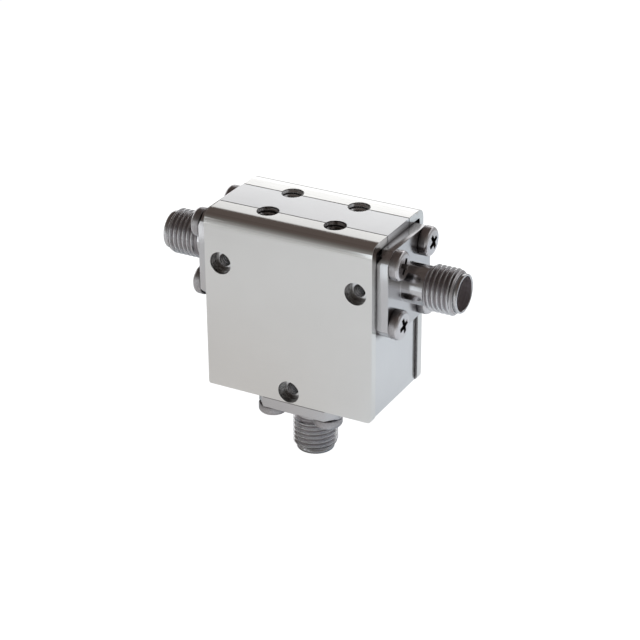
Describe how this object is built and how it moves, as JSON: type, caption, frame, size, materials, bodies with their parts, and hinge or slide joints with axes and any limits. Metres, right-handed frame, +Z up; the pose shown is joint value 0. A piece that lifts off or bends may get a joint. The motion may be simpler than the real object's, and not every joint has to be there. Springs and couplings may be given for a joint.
{
  "type": "rf circulator",
  "caption": "Compact coaxial ferrite circulator: a block between folded plated covers, with threaded coaxial ports on two sides and below, and tapped fixing holes.",
  "frame": {"origin": "centre of the tapped hole pattern in the top face", "axes": "+X from the left port to the right port, +Y from front face to rear face, +Z up, away from the lower port"},
  "size_m": [0.045, 0.0152, 0.0365],
  "materials": {
    "cover_plating": "satin nickel plate on steel sheet",
    "block_aluminium": "fine machined",
    "port_steel": "turned and passivated",
    "screw_steel": "bright",
    "contact_plating": "gold plated",
    "white_dielectric": "smooth",
    "ferrite": "ground",
    "ring_dielectric": "ground",
    "strip_copper": "silver plated",
    "pole_steel": "plated",
    "magnet": "nickel plated"
  },
  "bodies": {
    "root": {"front_cover": "cover_plating", "rear_cover": "cover_plating", "housing_block": "block_aluminium", "centre_conductor": "strip_copper", "front_ferrite_disc": "ferrite", "front_dielectric_ring": "ring_dielectric", "front_ground_plate": "pole_steel", "front_magnet": "magnet", "front_pole_shim": "pole_steel", "rear_ferrite_disc": "ferrite", "rear_dielectric_ring": "ring_dielectric", "rear_ground_plate": "pole_steel", "rear_magnet": "magnet", "rear_pole_shim": "pole_steel", "left_port_shell": "port_steel", "left_port_insulator": "white_dielectric", "left_port_contact": "contact_plating", "left_port_screws": "screw_steel", "right_port_shell": "port_steel", "right_port_insulator": "white_dielectric", "right_port_contact": "contact_plating", "right_port_screws": "screw_steel", "lower_port_shell": "port_steel", "lower_port_insulator": "white_dielectric", "lower_port_contact": "contact_plating", "lower_port_screws": "screw_steel"}
  },
  "joints": []
}
